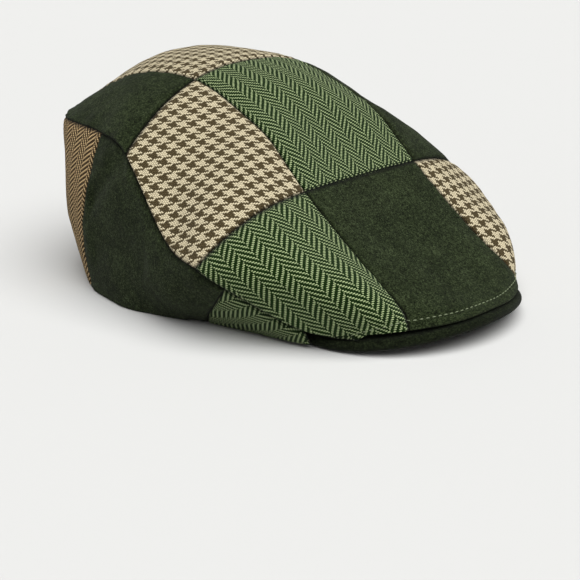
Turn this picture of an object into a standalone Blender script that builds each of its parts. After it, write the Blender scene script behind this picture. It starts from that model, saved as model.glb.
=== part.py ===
"""A patchwork ivy cap resting on its rim, in metres with +Z up.

The peak points along -Y and the wearer's right is -X. The origin is on the floor under the middle of
the cap. The fourteen cloth panels are shells cut from two surfaces that meet in one seam line:

the crown, with u across (-1 at the right seam, 1 at the left) and v along (0 at the peak, 1 at the back);
the band, with t along the seam line (0 at the crown's front corner, 8 at the centre of the back) and
h up (0 at the hem, 1 at the seam line). The band starts at t = 1, where it runs out to a point.

The left half is worked out, and the right half is its mirror image.
"""

from collections import namedtuple

import bpy
import numpy as np

MM = 0.001

# Overall sizes
CAP_LENGTH = 258 * MM
CAP_WIDTH = 198 * MM
CAP_HEIGHT = 115 * MM
OPENING_LENGTH = 197 * MM
OPENING_WIDTH = 174 * MM
OPENING_BACKSET = 26 * MM  # from the middle of the cap back to the middle of the head opening

# Cloth and seams
CLOTH = 2.2 * MM
SEAM_GAP = 0.4 * MM
SEAM_DIP = 0.8 * MM  # how far a panel's edge sinks into its seam
SEAM_SLOPE = 4 * MM  # the strip along an edge that sinks
HEM_RISE = 2 * MM  # how far the hem lifts where it meets the peak

# Peak
PEAK_WIDTH = 127 * MM
PEAK_REACH = 55.5 * MM  # from the line between its corners to its front
PEAK_TAIL = 30 * MM  # from that line back to its ends
PEAK_TAIL_SHARE = 0.12  # the share of its outline that runs along each tail
PEAK_BOARD = 5 * MM
PEAK_ARCH = 8 * MM
PEAK_LIFT = 0.5 * MM  # its lowest edge above the floor
PEAK_LIP = 2 * MM  # how far it shows past the crown's front edge
PEAK_GAP = 0.3 * MM
PEAK_SIDE_GAP = 1.3 * MM  # between its corners and the band

# The crown's front corner, on the peak's outline, and the point of the band just past the peak's corner
CROWN_CORNER_ANGLE = 22.5  # degrees round the peak from its corner
BAND_POINT_FLARE = 4 * MM
BAND_POINT_HEIGHT = 9.5 * MM

# The band's sections from t = 2. Out, along and up place the seam line, in shares of half the cap's
# width, half its length and its height. Hem_out and hem_along place the hem from the middle of the
# opening, in shares of half the opening's width and length. Bulge is a share of the cap's width.
BandRow = namedtuple("BandRow", "out along up hem_out hem_along bulge")
BAND = (
    BandRow(out=0.940, along=-0.355, up=0.250, hem_out=0.850, hem_along=-0.400, bulge=0.015),
    BandRow(out=1.000, along=-0.250, up=0.325, hem_out=0.920, hem_along=-0.285, bulge=0.020),
    BandRow(out=0.960, along=-0.065, up=0.390, hem_out=0.970, hem_along=-0.115, bulge=0.020),
    BandRow(out=0.870, along=0.215, up=0.680, hem_out=1.000, hem_along=0.105, bulge=0.020),
    BandRow(out=0.800, along=0.415, up=0.730, hem_out=0.890, hem_along=0.445, bulge=0.035),
    BandRow(out=0.700, along=0.735, up=0.740, hem_out=0.565, hem_along=0.800, bulge=0.030),
    BandRow(out=0.000, along=0.980, up=0.730, hem_out=0.000, hem_along=1.000, bulge=0.020),
)

# The crown's sections, evenly spaced in v. Along and up place its middle line, and column places the
# seams beside the middle column, all in shares as above. On its way out to the seam line a section
# moves along by the power sweep and falls by the power droop. The first section lies on the peak,
# which sets its along and up and bends it into the peak's bow.
CrownRow = namedtuple("CrownRow", "along up column sweep droop")
CROWN = (
    CrownRow(along=None, up=None, column=0.435, sweep=2.6, droop=6.0),
    CrownRow(along=-0.715, up=0.280, column=0.415, sweep=5.5, droop=8.5),
    CrownRow(along=-0.375, up=0.570, column=0.415, sweep=5.0, droop=5.0),
    CrownRow(along=-0.110, up=0.852, column=0.405, sweep=4.2, droop=2.6),
    CrownRow(along=0.230, up=0.985, column=0.380, sweep=3.4, droop=2.3),
    CrownRow(along=0.625, up=0.972, column=0.415, sweep=2.2, droop=2.2),
    CrownRow(along=0.980, up=0.730, column=0.455, sweep=2.2, droop=2.4),
)
BOW_FADE = 0.5  # the share of the first section's strip in which the crown leaves the peak's bow
BACK_LEAD = 0.56  # the share of the back edge that leads the side's seam line into it
SHARPEST_MITRE = 0.6  # the least cosine of half the angle between crown and band at their seam

# How far the crown's panels swell at their middle, a row for each row of panels from the front, in
# shares of the cap's width
SwellRow = namedtuple("SwellRow", "centre side")
SWELL = (
    SwellRow(centre=0.000, side=0.022),
    SwellRow(centre=0.004, side=0.004),
    SwellRow(centre=0.004, side=0.006),
)

# Soft creases in the band, each from one (t, h) to another. Depth is a share of the cap's width, and
# reach is the crease's half width in t and h.
Crease = namedtuple("Crease", "from_t from_h to_t to_h depth reach")
CREASES = (
    Crease(from_t=5.0, from_h=0.98, to_t=5.8, to_h=0.62, depth=0.014, reach=0.10),
    Crease(from_t=4.3, from_h=0.55, to_t=5.6, to_h=0.30, depth=0.008, reach=0.14),
)

# Where the panels are cut: columns in u, rows in v, and the band's seams in t
COLUMN_CUT = 1 / 3
ROW_CUTS = (0, 1 / 3, 2 / 3, 1)
ROW_CUT_PLACES = (0, 3, 5, 7)  # the t at which each row of the crown meets the seam line
BAND_CUTS = (1, 2, 6, 8)
BAND_END = 8

# Mesh density, in faces
FACES_PER_SECTION = 4
FACES_PER_COLUMN = 6
FACES_UP_BAND = 7
FACES_UP_POINT = 3
PEAK_FACES = 44
PEAK_LIP_FACES = 4
PEAK_FACES_DEEP = 3
SEAM_SAMPLES = 400  # places at which the seam line is compared with a panel's points


def smooth(values, place, before=None, after=None):
    """A Catmull-Rom curve through values at places 0, 1, 2 and so on."""
    values = np.asarray(values, float)
    first = 2 * values[0] - values[1] if before is None else before
    last = 2 * values[-1] - values[-2] if after is None else after
    ends = np.concatenate([[first], values, [last]])
    place = np.clip(np.asarray(place, float), 0, len(values) - 1)
    index = np.minimum(place.astype(int), len(values) - 2)
    part = place - index
    p0, p1, p2, p3 = (ends[index + step] for step in range(4))
    return p1 + 0.5 * part * (
        (p2 - p0) + part * ((2 * p0 - 5 * p1 + 4 * p2 - p3) + part * (3 * (p1 - p2) + p3 - p0))
    )


def column_of(table, name, unit):
    return np.array([getattr(row, name) for row in table]) * unit


def unit(vectors):
    return vectors / np.linalg.norm(vectors, axis=-1, keepdims=True)


def peak_corner_y():
    return PEAK_REACH - CAP_LENGTH / 2


def peak_under(x):
    """Height of the peak's underside, which is bent across the cap like a bow."""
    return PEAK_LIFT + PEAK_ARCH * np.clip(1 - (2 * x / PEAK_WIDTH) ** 2, 0, None)


def crown_seat(x):
    """Height of the crown's outer face where its front edge lies on the peak."""
    return peak_under(x) + PEAK_BOARD + PEAK_GAP + CLOTH


def seam_points():
    """The seam line's points at t = 0 to 7. The first two follow the peak."""
    angle = np.radians(CROWN_CORNER_ANGLE)
    corner_x = PEAK_WIDTH / 2 * np.cos(angle) - PEAK_LIP / 2
    corner = [corner_x, peak_corner_y() - PEAK_REACH * np.sin(angle), crown_seat(corner_x)]
    point = [band_point_x() + BAND_POINT_FLARE, peak_corner_y(), BAND_POINT_HEIGHT]
    rest = np.stack(
        [
            column_of(BAND[:-1], "out", CAP_WIDTH / 2),
            column_of(BAND[:-1], "along", CAP_LENGTH / 2),
            column_of(BAND[:-1], "up", CAP_HEIGHT),
        ],
        axis=-1,
    )
    return np.concatenate([[corner, point], rest])


def band_point_x():
    return PEAK_WIDTH / 2 + PEAK_SIDE_GAP + CLOTH


def crown_middle():
    """Along and up of the crown's middle line at its seven sections."""
    along = [PEAK_LIP - CAP_LENGTH / 2, *(row.along * CAP_LENGTH / 2 for row in CROWN[1:])]
    up = [crown_seat(0.0), *(row.up * CAP_HEIGHT for row in CROWN[1:])]
    return np.array(along), np.array(up)


SEAM = seam_points()
MIDDLE_ALONG, MIDDLE_UP = crown_middle()
COLUMN = column_of(CROWN, "column", CAP_WIDTH / 2)
SWEEP = column_of(CROWN, "sweep", 1)
DROOP = column_of(CROWN, "droop", 1)
HEM_OUT = np.concatenate([[band_point_x()], column_of(BAND, "hem_out", OPENING_WIDTH / 2)])
HEM_ALONG = np.concatenate(
    [[peak_corner_y()], OPENING_BACKSET + column_of(BAND, "hem_along", OPENING_LENGTH / 2)]
)
BULGE = np.concatenate([[0], column_of(BAND, "bulge", CAP_WIDTH)])


def back_edge(share):
    """The crown's back edge, from the centre of the back (0) to the seam line's last section (1)."""
    out, along, up = SEAM[-1]
    return np.stack(
        [
            out * share,
            MIDDLE_ALONG[-1] + (along - MIDDLE_ALONG[-1]) * share ** SWEEP[-1],
            up + (MIDDLE_UP[-1] - up) * (1 - share ** DROOP[-1]),
        ],
        axis=-1,
    )


def side_seam(t):
    """The seam line along the side, t = 0 to 7."""
    beyond = back_edge(np.array(BACK_LEAD))
    return np.stack([smooth(SEAM[:, k], t, after=beyond[k]) for k in range(3)], axis=-1)


def seam_line(t):
    """The seam line from the crown's front corner to the centre of the back."""
    t = np.asarray(t, float)
    last = len(SEAM) - 1
    side = side_seam(np.minimum(t, last))
    back = back_edge(np.clip(BAND_END - t, 0, 1))
    return np.where((t > last)[..., None], back, side)


def seam_place(v):
    """The t at which a line of constant v meets the seam line."""
    return np.interp(v, ROW_CUTS, ROW_CUT_PLACES)


def crown_frame(u, v):
    """Points of the crown before its panels swell.

    Across, a section runs from its middle point to its point on the seam line. With q its share of the
    way out, it moves along by q to the power of its sweep, and falls by q to the power of its droop.
    """
    u, v = np.broadcast_arrays(np.asarray(u, float), np.asarray(v, float))
    edge = side_seam(seam_place(v))
    section = v * (len(CROWN) - 1)
    along, up = smooth(MIDDLE_ALONG, section), smooth(MIDDLE_UP, section)
    column, sweep, droop = (smooth(values, section) for values in (COLUMN, SWEEP, DROOP))
    width = edge[..., 0]
    past = np.clip((abs(u) - COLUMN_CUT) / (1 - COLUMN_CUT), 0, 1)
    x = np.minimum(abs(u) / COLUMN_CUT, 1) * column + past * (width - column)
    q = np.clip(x / width, 0, 1)
    y = along + (edge[..., 1] - along) * q**sweep
    z = edge[..., 2] + (up - edge[..., 2]) * (1 - q**droop)
    on_peak = np.clip(1 - section / BOW_FADE, 0, 1) ** 2
    z = z + on_peak * (MIDDLE_UP[0] - SEAM[0, 2]) * (q**droop - q**2)
    return np.stack([np.sign(u) * x, y, z], axis=-1)


def crown_frame_normal(u, v):
    step = 0.01
    u = np.clip(u, -0.96, 0.96)
    v = np.clip(v, 0.01, 0.97)
    across = crown_frame(u + step, v) - crown_frame(u - step, v)
    along = crown_frame(u, v + step) - crown_frame(u, v - step)
    return unit(np.cross(across, along))


def crown(u, v):
    """Points of the crown's outer face: each panel swells like a cushion, and not at all at its seams."""
    u, v = np.broadcast_arrays(np.asarray(u, float), np.asarray(v, float))
    row = np.clip(np.searchsorted(ROW_CUTS, v, side="right") - 1, 0, len(SWELL) - 1)
    side = abs(u) > COLUMN_CUT
    heights = np.array([[panel.centre, panel.side] for panel in SWELL]) * CAP_WIDTH
    across = np.where(side, (abs(u) - COLUMN_CUT) / (1 - COLUMN_CUT), (u / COLUMN_CUT + 1) / 2)
    along = v * len(SWELL) - row
    swell = heights[row, side.astype(int)] * np.sin(np.pi * across) * np.sin(np.pi * along)
    return crown_frame(u, v) + crown_frame_normal(u, v) * swell[..., None]


def crown_place(t):
    """The u and v at which the crown meets the seam line at t."""
    t = np.asarray(t, float)
    last = len(SEAM) - 1
    x = SEAM[-1, 0] * np.clip(BAND_END - t, 0, 1)
    column = COLUMN[-1]
    inside = x / column * COLUMN_CUT
    outside = COLUMN_CUT + (x - column) / (SEAM[-1, 0] - column) * (1 - COLUMN_CUT)
    u = np.where(t > last, np.where(x < column, inside, outside), 1.0)
    return u, np.where(t > last, 1.0, np.interp(t, ROW_CUT_PLACES, ROW_CUTS))


def hem(t):
    """The hem, t = 1 to 8. It is flat on the floor from t = 2."""
    t = np.asarray(t, float)
    return np.stack(
        [
            smooth(HEM_OUT, t - 1, after=-HEM_OUT[-2]),
            smooth(HEM_ALONG, t - 1, after=HEM_ALONG[-2]),
            HEM_RISE * np.clip(2 - t, 0, 1) ** 2,
        ],
        axis=-1,
    )


def crease_depth(t, h):
    """How deep the band's creases are at (t, h): each is a bell-shaped groove along a straight line."""
    total = np.zeros(np.broadcast(t, h).shape)
    for crease in CREASES:
        run_t, run_h = crease.to_t - crease.from_t, crease.to_h - crease.from_h
        share = ((t - crease.from_t) * run_t + (h - crease.from_h) * run_h) / (run_t**2 + run_h**2)
        share = np.clip(share, 0, 1)
        away = np.hypot(t - crease.from_t - share * run_t, h - crease.from_h - share * run_h)
        total = total + crease.depth * CAP_WIDTH * np.exp(-((away / crease.reach) ** 2))
    return total * np.sin(np.pi * np.clip(h, 0, 1)) ** 0.5


def band(t, h):
    """Points of the band's outer face: straight from hem to seam line, then bulged and creased."""
    t, h = np.broadcast_arrays(np.asarray(t, float), np.asarray(h, float))

    def ruled(t):
        return hem(t) * (1 - h[..., None]) + seam_line(t) * h[..., None]

    run = ruled(np.minimum(t + 0.02, BAND_END)) - ruled(np.maximum(t - 0.02, 1))
    outward = unit(np.stack([run[..., 1], -run[..., 0], 0 * run[..., 0]], axis=-1))
    push = smooth(BULGE, t - 1) * np.sin(np.pi * h) - crease_depth(t, h)
    return ruled(t) + outward * push[..., None]


def crown_normal(u, v):
    """Unit normals of the crown's outer face.

    They are read a little inside its border, where its lines cross well.
    """
    step = 0.01
    u = np.clip(u, -0.96, 0.96)
    v = np.clip(v, 0.01, 0.97)
    across = crown(u + step, v) - crown(u - step, v)
    along = crown(u, v + step) - crown(u, v - step)
    return unit(np.cross(across, along))


def band_normal(t, h):
    step = 0.02
    t = np.clip(t, 1 + step, BAND_END - step)
    h = np.clip(h, step, 1 - step)
    return unit(np.cross(band(t + step, h) - band(t - step, h), band(t, h + step) - band(t, h - step)))


def seam_inward(t):
    """From the seam line to its inner edge, where the inner faces of crown and band meet.

    In front of the band this turns to straight down, because the crown's edge there lies on the peak.
    """
    u, v = crown_place(t)
    upper = crown_normal(u, v)
    bisector = unit(upper + band_normal(np.maximum(t, 1), np.ones_like(t)))
    half_angle_cosine = np.maximum((bisector * upper).sum(axis=-1, keepdims=True), SHARPEST_MITRE)
    mitre = -bisector * CLOTH / half_angle_cosine
    down = np.array([0, 0, -CLOTH])
    share = np.clip(t, 0, 1)[..., None]
    return down + (mitre - down) * share


def inward(points, normals):
    """From a panel's outer face to its inner face: one cloth's thickness along the normal.

    Close to the seam line it turns to the seam line's own way in, so that crown and band never cross.
    """
    places = np.linspace(0, BAND_END, SEAM_SAMPLES)
    line, line_inward = seam_line(places), seam_inward(places)
    hand = np.where(points[..., :1] < 0, [-1, 1, 1], [1, 1, 1])
    away = np.linalg.norm((points * hand)[..., None, :] - line, axis=-1)
    share = np.clip(away.min(axis=-1) / (2 * CLOTH), 0, 1)[..., None]
    at_seam = line_inward[away.argmin(axis=-1)] * hand
    return at_seam + (-CLOTH * normals - at_seam) * share


def steps(start, end, faces, slope):
    """Places from start to end, with an extra one beside each end where the seam's slope begins."""
    return np.concatenate([[start], np.linspace(start + slope, end - slope, faces + 1), [end]])


def seam_knots():
    """The t of every mesh line that meets the seam line along the side."""
    knots = set(np.round(np.arange(0, ROW_CUT_PLACES[-1] + 1e-9, 1 / FACES_PER_SECTION), 6))
    for cut in (*ROW_CUT_PLACES, *BAND_CUTS[1:-1]):
        here = seam_line(np.array([max(cut - 0.05, 0), min(cut + 0.05, 7)]))
        speed = np.linalg.norm(here[1] - here[0]) / (min(cut + 0.05, 7) - max(cut - 0.05, 0))
        knots |= {round(cut + side * SEAM_SLOPE / speed, 6) for side in (-1, 1)}
    return np.array(sorted(t for t in knots if 0 <= t <= ROW_CUT_PLACES[-1]))


def column_knots(column):
    """The u of every mesh line in a column of the crown."""
    start, end = (-COLUMN_CUT, COLUMN_CUT) if column == "centre" else (COLUMN_CUT, 1)
    half_column = COLUMN.mean()
    slope = SEAM_SLOPE / half_column * COLUMN_CUT
    return steps(start, end, FACES_PER_COLUMN, slope)


# The borders of a grid of points, each with the line of points beside it
BORDERS = {
    "first_a": (np.s_[0], np.s_[1]),
    "last_a": (np.s_[-1], np.s_[-2]),
    "first_b": (np.s_[:, 0], np.s_[:, 1]),
    "last_b": (np.s_[:, -1], np.s_[:, -2]),
}


def draw_in(points, guide, borders):
    """Moves the named borders of a grid of points away from their seams, by half of the seam's gap.

    They move square to the border, within the guide, which is the panel's outer face.
    """
    moved = points.copy()
    for border in borders:
        edge, beside = BORDERS[border]
        run = unit(np.gradient(guide[edge], axis=0))
        inward = guide[beside] - guide[edge]
        inward = inward - run * (inward * run).sum(axis=-1, keepdims=True)
        moved[edge] += unit(inward) * SEAM_GAP / 2
    return moved


def shell(outer, inner):
    """Vertices and faces of the closed shell between two grids of points."""
    rows, columns = outer.shape[:2]
    index = np.arange(rows * columns).reshape(rows, columns)
    quads = np.stack([index[:-1, :-1], index[1:, :-1], index[1:, 1:], index[:-1, 1:]], axis=-1)
    quads = quads.reshape(-1, 4)
    loop = np.concatenate([index[:-1, 0], index[-1, :-1], index[:0:-1, -1], index[0, :0:-1]])
    after = np.roll(loop, -1)
    below = rows * columns
    rim = np.stack([after, loop, loop + below, after + below], axis=-1)
    vertices = np.concatenate([outer.reshape(-1, 3), inner.reshape(-1, 3)])
    return vertices, np.concatenate([quads, quads[:, ::-1] + below, rim])


def sewn_shell(outer, depth, seams, free):
    """A shell whose borders at seams sink into them and keep their gap. The free border never sinks."""
    sunk = np.zeros(outer.shape[:2], bool)
    for border in seams:
        sunk[BORDERS[border][0]] = True
    if free not in seams:
        sunk[BORDERS[free][0]] = False
    dipped = outer + unit(depth) * SEAM_DIP * sunk[..., None]
    return shell(draw_in(dipped, outer, seams), draw_in(outer + depth, outer, seams))


def crown_panel(column, row):
    """A panel of the crown: its column is centre or side, and its row counts from the front."""
    us = column_knots(column)
    places = seam_knots()
    places = places[(places >= ROW_CUT_PLACES[row]) & (places <= ROW_CUT_PLACES[row + 1])]
    u, v = np.meshgrid(us, np.interp(places, ROW_CUT_PLACES, ROW_CUTS), indexing="ij")
    outer = crown(u, v)
    depth = inward(outer, crown_normal(u, v))
    borders = ["first_a", "last_a", "first_b", "last_b"]
    if row == 0:
        depth[:, 0] = [0, 0, -CLOTH]
        borders.remove("first_b")
    return sewn_shell(outer, depth, borders, "first_b")


def band_panel(part):
    """A panel of the band: part 0 is the front one, which runs out to a point."""
    start, end = BAND_CUTS[part], BAND_CUTS[part + 1]
    across = np.concatenate([column_knots("centre"), column_knots("side")])
    across = crown(across[across >= 0], 1.0)[..., 0]
    back = BAND_END - across / SEAM[-1, 0]
    places = np.unique(np.round(np.concatenate([seam_knots(), back, [BAND_END]]), 6))
    places = places[(places >= start) & (places <= end)]
    faces = FACES_UP_POINT if part == 0 else FACES_UP_BAND
    heights = np.concatenate([np.linspace(0, 0.95, faces + 1), [1]])
    t, h = np.meshgrid(places, heights, indexing="ij")
    outer = band(t, h)
    depth = inward(outer, band_normal(t, h))
    depth[:, 0] = -CLOTH * unit(band_normal(places, np.zeros_like(places)) * [1, 1, 0])
    vertices, faces = sewn_shell(outer, depth, ["first_a", "last_a", "last_b"], "first_b")
    at_hem = np.concatenate([h.ravel(), h.ravel()]) == 0
    vertices[at_hem, 2] = np.tile(hem(places)[:, 2], 2)
    return vertices, faces


def peak_solid():
    """The peak: a bent board with a round lip, a half ellipse in front of its corners.

    Its rear edge follows the front of the head opening, and its ends taper back inside the band.
    """
    turn = np.linspace(-1, 1, PEAK_FACES + 1)
    round_share = 1 - PEAK_TAIL_SHARE
    round_part = np.clip(turn / round_share, -1, 1) * np.pi / 2
    tail = np.clip((abs(turn) - round_share) / PEAK_TAIL_SHARE, 0, 1) * PEAK_TAIL
    front = np.stack(
        [PEAK_WIDTH / 2 * np.sin(round_part), peak_corner_y() - PEAK_REACH * np.cos(round_part) + tail],
        axis=-1,
    )
    rear_end = np.arcsin((PEAK_WIDTH / 2 - PEAK_BOARD) / (OPENING_WIDTH / 2))
    rear = np.stack(
        [
            OPENING_WIDTH / 2 * np.sin(turn * rear_end),
            OPENING_BACKSET - OPENING_LENGTH / 2 * np.cos(turn * rear_end),
        ],
        axis=-1,
    )
    half = PEAK_BOARD / 2
    lip = np.linspace(-np.pi / 2, np.pi / 2, PEAK_LIP_FACES + 1)
    inset = half * (1 - np.cos(lip))
    across = unit(rear - front)
    reach = np.linalg.norm(rear - front, axis=-1) - half
    deep = half + np.linspace(0, 1, PEAK_FACES_DEEP + 1)[1:, None] * reach
    below = [(distance, -half) for distance in deep[::-1]]
    lip_points = [(np.full(len(turn), d), half * np.sin(a)) for d, a in zip(inset, lip)]
    above = [(distance, half) for distance in deep]
    loop = []
    for distance, height in below + lip_points + above:
        place = front + across * distance[:, None]
        z = peak_under(place[:, 0]) + half + height
        loop.append(np.concatenate([place, z[:, None]], axis=-1))
    grid = np.stack(loop, axis=1)
    rows, columns = grid.shape[:2]
    index = np.arange(rows * columns).reshape(rows, columns)
    following = np.roll(index, -1, axis=1)
    sides = np.stack([index[:-1], index[1:], following[1:], following[:-1]], axis=-1).reshape(-1, 4)
    ends = [tuple(index[0]), tuple(index[-1, ::-1])]
    return grid.reshape(-1, 3), [tuple(face) for face in sides] + ends


def cloth_material(name, colour, roughness):
    material = bpy.data.materials.new(name)
    material.use_nodes = True
    shader = material.node_tree.nodes["Principled BSDF"]
    shader.inputs["Base Color"].default_value = (*colour, 1)
    shader.inputs["Roughness"].default_value = roughness
    shader.inputs["Metallic"].default_value = 0
    return material


def make_object(name, solid, material, mirrored=False):
    """Adds one piece. A mirrored one has its X turned round, and its faces with it."""
    vertices, faces = solid
    if mirrored:
        vertices = vertices * [-1, 1, 1]
        faces = [(face[0], *face[:0:-1]) for face in faces]
    mesh = bpy.data.meshes.new(name)
    mesh.from_pydata(np.asarray(vertices).tolist(), [], [tuple(map(int, face)) for face in faces])
    mesh.materials.append(material)
    mesh.shade_smooth()
    mesh.set_sharp_from_angle(angle=np.radians(40))
    piece = bpy.data.objects.new(name, mesh)
    bpy.context.scene.collection.objects.link(piece)
    return piece


def main():
    for thing in list(bpy.data.objects):
        bpy.data.objects.remove(thing)

    felt = cloth_material("dark_green_felt", (0.020, 0.031, 0.019), 0.95)
    green = cloth_material("green_herringbone", (0.110, 0.220, 0.060), 0.90)
    check = cloth_material("brown_houndstooth", (0.380, 0.300, 0.190), 0.90)
    brown = cloth_material("brown_herringbone", (0.220, 0.130, 0.060), 0.90)

    crown_cloths = {
        "front": {"right": green, "centre": felt, "left": check},
        "mid": {"right": check, "centre": green, "left": felt},
        "back": {"right": felt, "centre": check, "left": green},
    }
    for row, (row_name, cloths) in enumerate(crown_cloths.items()):
        for column, cloth in cloths.items():
            solid = crown_panel("centre" if column == "centre" else "side", row)
            make_object(f"top_{row_name}_{column}", solid, cloth, mirrored=column == "right")

    for part, (part_name, cloth) in enumerate((("front", green), ("mid", felt), ("back", brown))):
        for hand in ("right", "left"):
            solid = band_panel(part)
            make_object(f"side_{part_name}_{hand}", solid, cloth, mirrored=hand == "right")

    make_object("peak", peak_solid(), felt)


main()
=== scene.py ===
"""The looks of a patchwork ivy cap: its sewn panels of felt, herringbone and houndstooth.

Everything is in metres in the frame's axes. The peak points along -Y, and the cap's right is -X.
The fifteen cloth panels are cut from two surfaces that meet in one seam line:

the crown, with u across (-1 at the right seam, 1 at the left) and v along (0 at the peak, 1 at the
back), and the band, with t along the seam line (0 at the crown's front corner, 8 at the centre of
the back) and h up (0 at the hem, 1 at the seam line). The band starts at t = 1 in a point.

The left half is worked out, and the right half is its mirror image.
"""

from collections import namedtuple

import bpy
import numpy as np
from mathutils import Matrix


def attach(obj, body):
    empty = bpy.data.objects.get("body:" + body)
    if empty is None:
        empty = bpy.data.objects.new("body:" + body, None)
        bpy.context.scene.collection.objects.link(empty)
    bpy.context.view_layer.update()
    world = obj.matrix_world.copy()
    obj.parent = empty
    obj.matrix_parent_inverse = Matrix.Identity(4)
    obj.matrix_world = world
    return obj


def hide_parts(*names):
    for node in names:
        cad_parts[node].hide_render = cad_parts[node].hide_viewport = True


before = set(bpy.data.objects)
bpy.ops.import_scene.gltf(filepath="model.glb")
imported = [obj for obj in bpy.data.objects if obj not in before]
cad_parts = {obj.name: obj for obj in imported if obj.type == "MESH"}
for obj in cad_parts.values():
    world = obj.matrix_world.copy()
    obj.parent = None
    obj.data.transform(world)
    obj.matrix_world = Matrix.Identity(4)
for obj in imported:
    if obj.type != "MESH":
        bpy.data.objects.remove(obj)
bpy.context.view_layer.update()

MM = 0.001

# Overall sizes
CAP_LENGTH = 258 * MM
CAP_WIDTH = 198 * MM
CAP_HEIGHT = 115 * MM
OPENING_LENGTH = 197 * MM
OPENING_WIDTH = 174 * MM
OPENING_BACKSET = 26 * MM  # from the middle of the cap back to the opening's middle
CLOTH = 2.2 * MM
HEM_RISE = 2 * MM  # how far the hem lifts where it meets the peak

# Peak
PEAK_WIDTH = 127 * MM
PEAK_REACH = 55.5 * MM  # from the line between its corners to its front
PEAK_TAIL = 30 * MM  # from that line back to its ends
PEAK_TAIL_SHARE = 0.12  # the share of its outline that runs along each tail
PEAK_BOARD = 5 * MM
PEAK_ARCH = 8 * MM
PEAK_LIFT = 0.5 * MM  # its lowest edge above the floor
PEAK_LIP = 2 * MM  # how far it shows past the crown's front edge
PEAK_GAP = 0.3 * MM
PEAK_SIDE_GAP = 1.3 * MM  # between its corners and the band

# The crown's front corner on the peak's outline, and the band's point just past the peak's corner
CROWN_CORNER_ANGLE = 22.5  # degrees round the peak from its corner
BAND_POINT_FLARE = 4 * MM
BAND_POINT_HEIGHT = 9.5 * MM

# The band's sections from t = 2. Out, along and up place the seam line, in shares of half the cap's
# width, half its length and its height. Hem_out and hem_along place the hem from the opening's
# middle, in shares of half the opening's width and length. Bulge is a share of the cap's width.
BandRow = namedtuple("BandRow", "out along up hem_out hem_along bulge")
BAND = (
    BandRow(out=0.940, along=-0.355, up=0.250, hem_out=0.850, hem_along=-0.400, bulge=0.015),
    BandRow(out=1.000, along=-0.250, up=0.325, hem_out=0.920, hem_along=-0.285, bulge=0.020),
    BandRow(out=0.960, along=-0.065, up=0.390, hem_out=0.970, hem_along=-0.115, bulge=0.020),
    BandRow(out=0.870, along=0.215, up=0.680, hem_out=1.000, hem_along=0.105, bulge=0.020),
    BandRow(out=0.800, along=0.415, up=0.730, hem_out=0.890, hem_along=0.445, bulge=0.035),
    BandRow(out=0.700, along=0.735, up=0.740, hem_out=0.565, hem_along=0.800, bulge=0.030),
    BandRow(out=0.000, along=0.980, up=0.730, hem_out=0.000, hem_along=1.000, bulge=0.020),
)

# The crown's sections, evenly spaced in v. Along and up place its middle line, and column the seams
# beside the middle column, all in shares as above. On its way out to the seam line a section moves
# along by the power sweep and falls by the power droop. The first section lies on the peak.
CrownRow = namedtuple("CrownRow", "along up column sweep droop")
CROWN = (
    CrownRow(along=None, up=None, column=0.435, sweep=2.6, droop=6.0),
    CrownRow(along=-0.715, up=0.280, column=0.415, sweep=5.5, droop=8.5),
    CrownRow(along=-0.375, up=0.570, column=0.415, sweep=5.0, droop=5.0),
    CrownRow(along=-0.110, up=0.852, column=0.405, sweep=4.2, droop=2.6),
    CrownRow(along=0.230, up=0.985, column=0.380, sweep=3.4, droop=2.3),
    CrownRow(along=0.625, up=0.972, column=0.415, sweep=2.2, droop=2.2),
    CrownRow(along=0.980, up=0.730, column=0.455, sweep=2.2, droop=2.4),
)
BOW_FADE = 0.5  # the share of the first section's strip in which the crown leaves the peak's bow
BACK_LEAD = 0.56  # the share of the back edge that leads the side's seam line into it
SHARPEST_MITRE = 0.6  # the least cosine of half the angle between crown and band at their seam

# How far each row of crown panels swells at its middle, in shares of the cap's width
SwellRow = namedtuple("SwellRow", "centre side")
SWELL = (
    SwellRow(centre=0.000, side=0.022),
    SwellRow(centre=0.004, side=0.004),
    SwellRow(centre=0.004, side=0.006),
)

# Soft creases in the band from one (t, h) to another, their depth in shares of the cap's width
Crease = namedtuple("Crease", "from_t from_h to_t to_h depth reach")
CREASES = (
    Crease(from_t=5.0, from_h=0.98, to_t=5.8, to_h=0.62, depth=0.014, reach=0.10),
    Crease(from_t=4.3, from_h=0.55, to_t=5.6, to_h=0.30, depth=0.008, reach=0.14),
)

# Where the panels are cut: columns in u, rows in v, and the band's seams in t
COLUMN_CUT = 1 / 3
ROW_CUTS = (0, 1 / 3, 2 / 3, 1)
ROW_CUT_PLACES = (0, 3, 5, 7)  # the t at which each row of the crown meets the seam line
BAND_CUTS = (1, 2, 6, 8)
BAND_END = 8

# Mesh density, in faces
FACES_PER_SECTION = 38
FACES_PER_CENTRE = 88
FACES_PER_SIDE = 62
FACES_UP_BAND = 84
FACES_ROUND_EDGE = 5
PEAK_FACES = 300
PEAK_LIP_FACES = 14
PEAK_FACES_DEEP = 24

# The coarse grid on which a panel is laid flat
FLAT_LINES = 19
FLAT_ROUNDS = 500
FLAT_PULL = 0.11  # the share of each error in length that one round takes away
SHORTEST = 1e-9  # so that no length is divided by 0

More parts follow.
